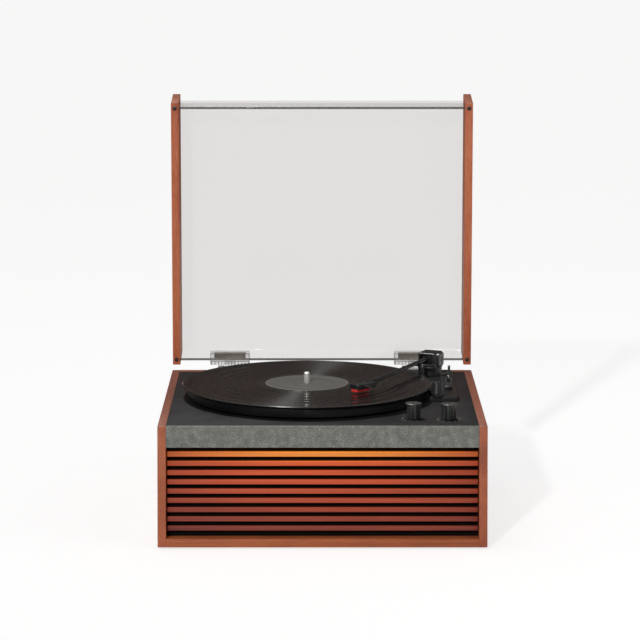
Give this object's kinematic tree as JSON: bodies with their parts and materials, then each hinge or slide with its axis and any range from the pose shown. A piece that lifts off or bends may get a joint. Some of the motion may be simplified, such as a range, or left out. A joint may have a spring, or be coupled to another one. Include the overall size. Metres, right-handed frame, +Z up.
{
  "type": "record player",
  "caption": "Record player in a wooden cabinet with a slatted speaker front, tonearm, knobs and a hinged clear lid between wooden cheeks.",
  "frame": {"origin": "middle of the whole outline with the lid open, on the surface that the feet stand on", "axes": "+Z up, +X to the right, the front faces -Y"},
  "size_m": [0.38, 0.414, 0.4933],
  "materials": {
    "cabinet_wood": "oiled reddish brown wood with fine straight grain",
    "lid_wood": "oiled reddish brown wood with fine straight grain",
    "slat_wood": "oiled reddish brown wood, satin",
    "back_board": "board painted matte black",
    "deck_black": "finely textured matte black",
    "fascia_grey": "speckled grey texture paint",
    "grille_fabric": "black speaker cloth",
    "driver_steel": "black and plain steel",
    "cone_pulp": "black paper pulp",
    "warm_light": "diffused warm light",
    "soft_rubber": "matte black rubber",
    "dark_screw": "blackened steel",
    "bearing_brass": "turned brass",
    "circuit_board": "green board with dark components",
    "black_plastic": "moulded black plastic, satin",
    "socket_chrome": "plated metal",
    "spindle_steel": "polished steel",
    "platter_black": "black enamel",
    "black_felt": "black felt",
    "record_vinyl": "glossy grooved vinyl",
    "label_paper": "matte printed paper",
    "knob_black": "turned and black anodised",
    "arm_black": "moulded black plastic, satin",
    "stylus_red": "red moulded plastic",
    "clear_acrylic": "polished clear acrylic, faint warm grey",
    "clear_plastic": "clear moulded plastic",
    "leaf_metal": "dull brownish grey metal"
  },
  "bodies": {
    "cabinet": {"left_side_panel": "cabinet_wood", "right_side_panel": "cabinet_wood", "bottom_board": "cabinet_wood", "rear_rail": "cabinet_wood", "back_panel": "back_board", "deck_plate": "deck_black", "front_fascia": "fascia_grey", "grille_cloth": "grille_fabric", "speaker_baffle": "back_board", "speaker_drivers": "driver_steel", "speaker_cones": "cone_pulp", "led_strip": "warm_light", "rubber_feet": "soft_rubber", "wood_screws": "dark_screw", "motor": "driver_steel", "drive_belt": "soft_rubber", "bearing_housing": "bearing_brass", "amplifier_board": "circuit_board", "control_pots": "driver_steel", "dc_socket": "black_plastic", "rca_sockets": "socket_chrome", "aux_socket": "black_plastic", "tonearm_base": "black_plastic", "arm_rest": "black_plastic", "hinge_bases": "black_plastic", "hinge_pins": "spindle_steel", "grille_slat_1": "slat_wood", "grille_slat_2": "slat_wood", "grille_slat_3": "slat_wood", "grille_slat_4": "slat_wood", "grille_slat_5": "slat_wood", "grille_slat_6": "slat_wood", "grille_slat_7": "slat_wood", "grille_slat_8": "slat_wood", "grille_slat_9": "slat_wood"},
    "platter_unit": {"platter": "platter_black", "slipmat": "black_felt", "vinyl_record": "record_vinyl", "record_label": "label_paper", "spindle": "spindle_steel"},
    "pulley_unit": {"motor_pulley": "bearing_brass"},
    "source_knob_unit": {"source_knob": "knob_black"},
    "volume_knob_unit": {"volume_knob": "knob_black"},
    "slider_unit": {"speed_slider": "black_plastic"},
    "cue_lever_unit": {"cue_lever": "black_plastic"},
    "lift_bar_unit": {"cue_lift_bar": "soft_rubber"},
    "turret_unit": {"arm_turret": "arm_black"},
    "tonearm_unit": {"arm_tube": "arm_black", "headshell": "arm_black", "cartridge": "black_plastic", "stylus": "stylus_red", "counterweight": "driver_steel"},
    "clip_unit": {"arm_clip": "black_plastic"},
    "lid_unit": {"lid_cheek_left": "lid_wood", "lid_cheek_right": "lid_wood", "dust_cover": "clear_acrylic", "lid_bumpers": "soft_rubber", "hinge_sockets": "clear_plastic", "hinge_leaves": "leaf_metal"}
  },
  "joints": [
    {"name": "lid_hinge", "type": "hinge", "parent": "cabinet", "child": "lid_unit", "pos_m": [0, 0.15201, 0.144], "axis": [1, 0, 0], "range_deg": [0, 83]},
    {"name": "platter_spin", "type": "hinge", "parent": "cabinet", "child": "platter_unit", "pos_m": [-0.0185, -0.02899, 0.143], "axis": [0, 0, 1], "continuous": true},
    {"name": "pulley_spin", "type": "hinge", "parent": "cabinet", "child": "pulley_unit", "pos_m": [-0.06898, 0.03563, 0.143], "axis": [0, 0, 1], "continuous": true},
    {"name": "source_turn", "type": "hinge", "parent": "cabinet", "child": "source_knob_unit", "pos_m": [0.106, -0.16499, 0.143], "axis": [0, 0, 1], "range_deg": [-40, 40]},
    {"name": "volume_turn", "type": "hinge", "parent": "cabinet", "child": "volume_knob_unit", "pos_m": [0.147, -0.16799, 0.143], "axis": [0, 0, 1], "range_deg": [-150, 150]},
    {"name": "speed_slide", "type": "slide", "parent": "cabinet", "child": "slider_unit", "axis": [0, 1, 0], "range_m": [-0.005, 0.005]},
    {"name": "cue_lever_turn", "type": "hinge", "parent": "cabinet", "child": "cue_lever_unit", "pos_m": [0.157, 0.04801, 0.151], "axis": [1, 0, 0], "range_deg": [0, 60]},
    {"name": "cue_lift", "type": "slide", "parent": "cabinet", "child": "lift_bar_unit", "axis": [0, 0, 1], "range_m": [0, 0.0008]},
    {"name": "arm_swing", "type": "hinge", "parent": "cabinet", "child": "turret_unit", "pos_m": [0.135, 0.08801, 0.143], "axis": [0, 0, 1], "range_deg": [-11, 26.2]},
    {"name": "arm_pitch", "type": "hinge", "parent": "turret_unit", "child": "tonearm_unit", "pos_m": [0.135, 0.08801, 0.1695], "axis": [-0.9063, 0.4226, 0], "range_deg": [0, 1.33]},
    {"name": "arm_clip_turn", "type": "hinge", "parent": "cabinet", "child": "clip_unit", "pos_m": [0.14279, -0.05695, 0.176], "axis": [0, -1, 0], "range_deg": [0, 165]}
  ],
  "couplings": [
    {"joint": "pulley_spin", "follows": "platter_spin", "ratio": 8},
    {"joint": "cue_lift", "follows": "arm_pitch", "m_per_rad": 0.03446},
    {"joint": "cue_lever_turn", "follows": "arm_pitch", "ratio": 45.108}
  ]
}
